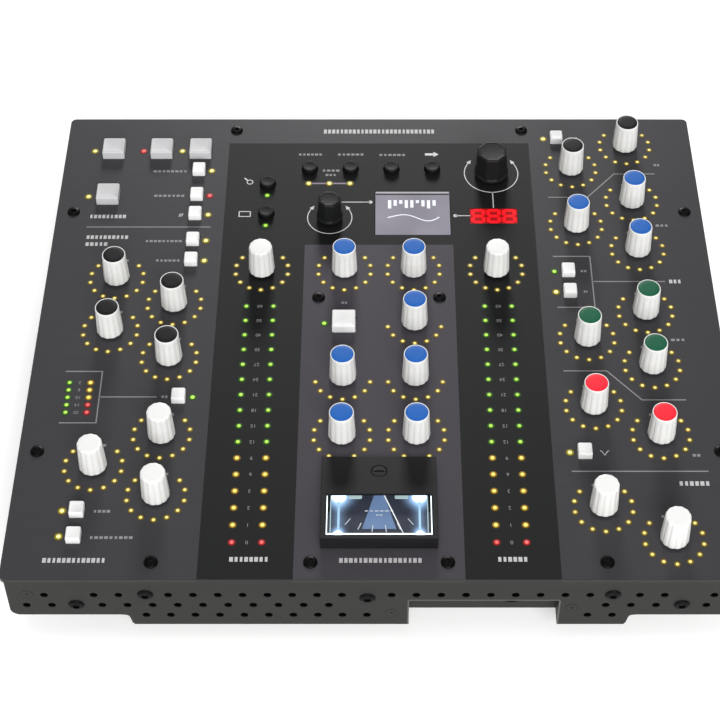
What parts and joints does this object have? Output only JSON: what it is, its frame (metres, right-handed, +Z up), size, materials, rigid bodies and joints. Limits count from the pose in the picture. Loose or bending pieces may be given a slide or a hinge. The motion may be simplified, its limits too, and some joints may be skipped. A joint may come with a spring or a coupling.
{
  "type": "desktop dynamics and equaliser controller",
  "caption": "Flat desktop audio control surface with fluted rotary knobs, push buttons, lamp rings, level lamp columns, a tilted needle meter and two small displays.",
  "frame": {"origin": "middle of the footprint on the plane that the feet stand on", "axes": "+X is the user's right along the long side, -Y is the user's front edge, +Y is the rear with the sockets, +Z is up, normal to the panel"},
  "size_m": [0.3, 0.266, 0.061],
  "materials": {
    "panel_paint": "brushed charcoal anodised look, satin",
    "tray_paint": "dark grey powder coat, fine texture",
    "board_parts": "green solder mask with black and metal components",
    "meter_black": "black moulded, fine texture",
    "needle_white": "thin white painted aluminium",
    "black_steel": "black oxide steel, slightly oiled",
    "foot_rubber": "black rubber, matt",
    "knob_white": "white moulded, satin, fluted",
    "knob_insert": "coloured press-in disc, satin",
    "selector_black": "black soft-touch",
    "key_grey": "light grey moulded, satin",
    "key_white": "white translucent moulded, satin",
    "button_black": "black moulded, satin",
    "lamp": "small lit light guides",
    "display": "lit display behind a dark window",
    "print_white": "white screen print",
    "zone_black": "darker satin overlay",
    "clear_window": "clear moulded window",
    "socket_metal": "nickel plated shell"
  },
  "bodies": {
    "root": {"top_panel": "panel_paint", "base_tray": "tray_paint", "control_board": "board_parts", "meter_housing": "meter_black", "fasteners": "black_steel", "feet": "foot_rubber"},
    "meter_needle": {"meter_needle": "needle_white"},
    "low_gain_knob": {"low_gain_knob": "knob_white"},
    "low_frequency_knob": {"low_frequency_knob": "knob_white"},
    "low_mid_frequency_knob": {"low_mid_frequency_knob": "knob_white"},
    "low_mid_width_knob": {"low_mid_width_knob": "knob_white"},
    "low_mid_gain_knob": {"low_mid_gain_knob": "knob_white"},
    "high_mid_frequency_knob": {"high_mid_frequency_knob": "knob_white"},
    "high_mid_width_knob": {"high_mid_width_knob": "knob_white"},
    "high_mid_gain_knob": {"high_mid_gain_knob": "knob_white"},
    "high_frequency_knob": {"high_frequency_knob": "knob_white"},
    "high_gain_knob": {"high_gain_knob": "knob_white"},
    "high_pass_knob": {"high_pass_knob": "knob_white"},
    "low_pass_knob": {"low_pass_knob": "knob_white"},
    "gate_release_knob": {"gate_release_knob": "knob_white"},
    "gate_range_knob": {"gate_range_knob": "knob_white"},
    "gate_threshold_knob": {"gate_threshold_knob": "knob_white"},
    "gate_hold_knob": {"gate_hold_knob": "knob_white"},
    "comp_ratio_knob": {"comp_ratio_knob": "knob_white"},
    "comp_threshold_knob": {"comp_threshold_knob": "knob_white"},
    "comp_release_knob": {"comp_release_knob": "knob_white"},
    "input_trim_knob": {"input_trim_knob": "knob_white"},
    "output_trim_knob": {"output_trim_knob": "knob_white"},
    "bus_filter_knob": {"bus_filter_knob": "knob_white"},
    "bus_mix_knob": {"bus_mix_knob": "knob_white"},
    "bus_ratio_knob": {"bus_ratio_knob": "knob_white"},
    "bus_attack_knob": {"bus_attack_knob": "knob_white"},
    "bus_release_knob": {"bus_release_knob": "knob_white"},
    "bus_threshold_knob": {"bus_threshold_knob": "knob_white"},
    "bus_makeup_knob": {"bus_makeup_knob": "knob_white"},
    "channel_selector": {"channel_selector": "selector_black"},
    "page_selector": {"page_selector": "selector_black"},
    "solo_button": {"solo_button": "key_grey"},
    "cut_button": {"cut_button": "key_grey"},
    "fine_button": {"fine_button": "key_grey"},
    "channel_in_button": {"channel_in_button": "key_grey"},
    "solo_clear_button": {"solo_clear_button": "key_white"},
    "sidechain_listen_button": {"sidechain_listen_button": "key_white"},
    "polarity_button": {"polarity_button": "key_white"},
    "gate_fast_attack_button": {"gate_fast_attack_button": "key_white"},
    "expander_button": {"expander_button": "key_white"},
    "dynamics_in_button": {"dynamics_in_button": "key_white"},
    "peak_button": {"peak_button": "key_white"},
    "comp_fast_attack_button": {"comp_fast_attack_button": "key_white"},
    "low_bell_button": {"low_bell_button": "key_white"},
    "eq_in_button": {"eq_in_button": "key_white"},
    "eq_type_button": {"eq_type_button": "key_white"},
    "high_bell_button": {"high_bell_button": "key_white"},
    "bus_in_button": {"bus_in_button": "key_white"},
    "magnify_button": {"magnify_button": "button_black"},
    "window_button": {"window_button": "button_black"},
    "presets_button": {"presets_button": "button_black"},
    "routing_button": {"routing_button": "button_black"},
    "confirm_button": {"confirm_button": "button_black"},
    "back_button": {"back_button": "button_black"}
  },
  "joints": [
    {"name": "low_gain_turn", "type": "hinge", "parent": "root", "child": "low_gain_knob", "pos_m": [-0.1181, -0.1138, 0.053], "axis": [0, 0, 1], "continuous": true},
    {"name": "low_frequency_turn", "type": "hinge", "parent": "root", "child": "low_frequency_knob", "pos_m": [-0.0911, -0.0982, 0.053], "axis": [0, 0, 1], "continuous": true},
    {"name": "low_mid_frequency_turn", "type": "hinge", "parent": "root", "child": "low_mid_frequency_knob", "pos_m": [-0.1181, -0.0763, 0.053], "axis": [0, 0, 1], "continuous": true},
    {"name": "low_mid_width_turn", "type": "hinge", "parent": "root", "child": "low_mid_width_knob", "pos_m": [-0.0911, -0.0607, 0.053], "axis": [0, 0, 1], "continuous": true},
    {"name": "low_mid_gain_turn", "type": "hinge", "parent": "root", "child": "low_mid_gain_knob", "pos_m": [-0.1181, -0.0451, 0.053], "axis": [0, 0, 1], "continuous": true},
    {"name": "high_mid_frequency_turn", "type": "hinge", "parent": "root", "child": "high_mid_frequency_knob", "pos_m": [-0.1181, -0.0075, 0.053], "axis": [0, 0, 1], "continuous": true},
    {"name": "high_mid_width_turn", "type": "hinge", "parent": "root", "child": "high_mid_width_knob", "pos_m": [-0.0911, 0.0081, 0.053], "axis": [0, 0, 1], "continuous": true},
    {"name": "high_mid_gain_turn", "type": "hinge", "parent": "root", "child": "high_mid_gain_knob", "pos_m": [-0.1181, 0.0237, 0.053], "axis": [0, 0, 1], "continuous": true},
    {"name": "high_frequency_turn", "type": "hinge", "parent": "root", "child": "high_frequency_knob", "pos_m": [-0.0911, 0.0458, 0.053], "axis": [0, 0, 1], "continuous": true},
    {"name": "high_gain_turn", "type": "hinge", "parent": "root", "child": "high_gain_knob", "pos_m": [-0.1181, 0.0614, 0.053], "axis": [0, 0, 1], "continuous": true},
    {"name": "high_pass_turn", "type": "hinge", "parent": "root", "child": "high_pass_knob", "pos_m": [-0.0911, 0.0981, 0.053], "axis": [0, 0, 1], "continuous": true},
    {"name": "low_pass_turn", "type": "hinge", "parent": "root", "child": "low_pass_knob", "pos_m": [-0.1181, 0.1137, 0.053], "axis": [0, 0, 1], "continuous": true},
    {"name": "gate_release_turn", "type": "hinge", "parent": "root", "child": "gate_release_knob", "pos_m": [0.1181, -0.0277, 0.053], "axis": [0, 0, 1], "continuous": true},
    {"name": "gate_range_turn", "type": "hinge", "parent": "root", "child": "gate_range_knob", "pos_m": [0.0911, -0.0121, 0.053], "axis": [0, 0, 1], "continuous": true},
    {"name": "gate_threshold_turn", "type": "hinge", "parent": "root", "child": "gate_threshold_knob", "pos_m": [0.1181, 0.0035, 0.053], "axis": [0, 0, 1], "continuous": true},
    {"name": "gate_hold_turn", "type": "hinge", "parent": "root", "child": "gate_hold_knob", "pos_m": [0.0911, 0.0191, 0.053], "axis": [0, 0, 1], "continuous": true},
    {"name": "comp_ratio_turn", "type": "hinge", "parent": "root", "child": "comp_ratio_knob", "pos_m": [0.0911, 0.0612, 0.053], "axis": [0, 0, 1], "continuous": true},
    {"name": "comp_threshold_turn", "type": "hinge", "parent": "root", "child": "comp_threshold_knob", "pos_m": [0.1181, 0.0776, 0.053], "axis": [0, 0, 1], "continuous": true},
    {"name": "comp_release_turn", "type": "hinge", "parent": "root", "child": "comp_release_knob", "pos_m": [0.0911, 0.0924, 0.053], "axis": [0, 0, 1], "continuous": true},
    {"name": "input_trim_turn", "type": "hinge", "parent": "root", "child": "input_trim_knob", "pos_m": [-0.053, -0.0327, 0.053], "axis": [0, 0, 1], "continuous": true},
    {"name": "output_trim_turn", "type": "hinge", "parent": "root", "child": "output_trim_knob", "pos_m": [0.053, -0.0327, 0.053], "axis": [0, 0, 1], "continuous": true},
    {"name": "bus_filter_turn", "type": "hinge", "parent": "root", "child": "bus_filter_knob", "pos_m": [-0.0156, -0.0327, 0.053], "axis": [0, 0, 1], "continuous": true},
    {"name": "bus_mix_turn", "type": "hinge", "parent": "root", "child": "bus_mix_knob", "pos_m": [0.0156, -0.0327, 0.053], "axis": [0, 0, 1], "continuous": true},
    {"name": "bus_ratio_turn", "type": "hinge", "parent": "root", "child": "bus_ratio_knob", "pos_m": [-0.0156, -0.0013, 0.053], "axis": [0, 0, 1], "continuous": true},
    {"name": "bus_attack_turn", "type": "hinge", "parent": "root", "child": "bus_attack_knob", "pos_m": [-0.0156, 0.0301, 0.053], "axis": [0, 0, 1], "continuous": true},
    {"name": "bus_release_turn", "type": "hinge", "parent": "root", "child": "bus_release_knob", "pos_m": [0.0156, 0.0301, 0.053], "axis": [0, 0, 1], "continuous": true},
    {"name": "bus_threshold_turn", "type": "hinge", "parent": "root", "child": "bus_threshold_knob", "pos_m": [-0.0156, 0.0615, 0.053], "axis": [0, 0, 1], "continuous": true},
    {"name": "bus_makeup_turn", "type": "hinge", "parent": "root", "child": "bus_makeup_knob", "pos_m": [0.0156, 0.0615, 0.053], "axis": [0, 0, 1], "continuous": true},
    {"name": "channel_select_turn", "type": "hinge", "parent": "root", "child": "channel_selector", "pos_m": [-0.0532, -0.0953, 0.052], "axis": [0, 0, 1], "continuous": true},
    {"name": "page_select_turn", "type": "hinge", "parent": "root", "child": "page_selector", "pos_m": [0.0229, -0.066, 0.052], "axis": [0, 0, 1], "continuous": true},
    {"name": "solo_press", "type": "slide", "parent": "root", "child": "solo_button", "axis": [0, 0, -1], "range_m": [0, 0.0008], "stiffness_N_per_m": 600},
    {"name": "cut_press", "type": "slide", "parent": "root", "child": "cut_button", "axis": [0, 0, -1], "range_m": [0, 0.0008], "stiffness_N_per_m": 600},
    {"name": "fine_press", "type": "slide", "parent": "root", "child": "fine_button", "axis": [0, 0, -1], "range_m": [0, 0.0008], "stiffness_N_per_m": 600},
    {"name": "channel_in_press", "type": "slide", "parent": "root", "child": "channel_in_button", "axis": [0, 0, -1], "range_m": [0, 0.0008], "stiffness_N_per_m": 600},
    {"name": "solo_clear_press", "type": "slide", "parent": "root", "child": "solo_clear_button", "axis": [0, 0, -1], "range_m": [0, 0.0008], "stiffness_N_per_m": 600},
    {"name": "sidechain_listen_press", "type": "slide", "parent": "root", "child": "sidechain_listen_button", "axis": [0, 0, -1], "range_m": [0, 0.0008], "stiffness_N_per_m": 600},
    {"name": "polarity_press", "type": "slide", "parent": "root", "child": "polarity_button", "axis": [0, 0, -1], "range_m": [0, 0.0008], "stiffness_N_per_m": 600},
    {"name": "gate_fast_attack_press", "type": "slide", "parent": "root", "child": "gate_fast_attack_button", "axis": [0, 0, -1], "range_m": [0, 0.0008], "stiffness_N_per_m": 600},
    {"name": "expander_press", "type": "slide", "parent": "root", "child": "expander_button", "axis": [0, 0, -1], "range_m": [0, 0.0008], "stiffness_N_per_m": 600},
    {"name": "dynamics_in_press", "type": "slide", "parent": "root", "child": "dynamics_in_button", "axis": [0, 0, -1], "range_m": [0, 0.0008], "stiffness_N_per_m": 600},
    {"name": "peak_press", "type": "slide", "parent": "root", "child": "peak_button", "axis": [0, 0, -1], "range_m": [0, 0.0008], "stiffness_N_per_m": 600},
    {"name": "comp_fast_attack_press", "type": "slide", "parent": "root", "child": "comp_fast_attack_button", "axis": [0, 0, -1], "range_m": [0, 0.0008], "stiffness_N_per_m": 600},
    {"name": "low_bell_press", "type": "slide", "parent": "root", "child": "low_bell_button", "axis": [0, 0, -1], "range_m": [0, 0.0008], "stiffness_N_per_m": 600},
    {"name": "eq_in_press", "type": "slide", "parent": "root", "child": "eq_in_button", "axis": [0, 0, -1], "range_m": [0, 0.0008], "stiffness_N_per_m": 600},
    {"name": "eq_type_press", "type": "slide", "parent": "root", "child": "eq_type_button", "axis": [0, 0, -1], "range_m": [0, 0.0008], "stiffness_N_per_m": 600},
    {"name": "high_bell_press", "type": "slide", "parent": "root", "child": "high_bell_button", "axis": [0, 0, -1], "range_m": [0, 0.0008], "stiffness_N_per_m": 600},
    {"name": "bus_in_press", "type": "slide", "parent": "root", "child": "bus_in_button", "axis": [0, 0, -1], "range_m": [0, 0.0008], "stiffness_N_per_m": 600},
    {"name": "magnify_press", "type": "slide", "parent": "root", "child": "magnify_button", "axis": [0, 0, -1], "range_m": [0, 0.0008], "stiffness_N_per_m": 600},
    {"name": "window_press", "type": "slide", "parent": "root", "child": "window_button", "axis": [0, 0, -1], "range_m": [0, 0.0008], "stiffness_N_per_m": 600},
    {"name": "presets_press", "type": "slide", "parent": "root", "child": "presets_button", "axis": [0, 0, -1], "range_m": [0, 0.0008], "stiffness_N_per_m": 600},
    {"name": "routing_press", "type": "slide", "parent": "root", "child": "routing_button", "axis": [0, 0, -1], "range_m": [0, 0.0008], "stiffness_N_per_m": 600},
    {"name": "confirm_press", "type": "slide", "parent": "root", "child": "confirm_button", "axis": [0, 0, -1], "range_m": [0, 0.0008], "stiffness_N_per_m": 600},
    {"name": "back_press", "type": "slide", "parent": "root", "child": "back_button", "axis": [0, 0, -1], "range_m": [0, 0.0008], "stiffness_N_per_m": 600},
    {"name": "needle_swing", "type": "hinge", "parent": "root", "child": "meter_needle", "pos_m": [0, 0.0873, 0.04527], "axis": [0, -0.1124, 0.9937], "range_deg": [-56, 14], "stiffness_Nm_per_rad": 0.0002}
  ]
}
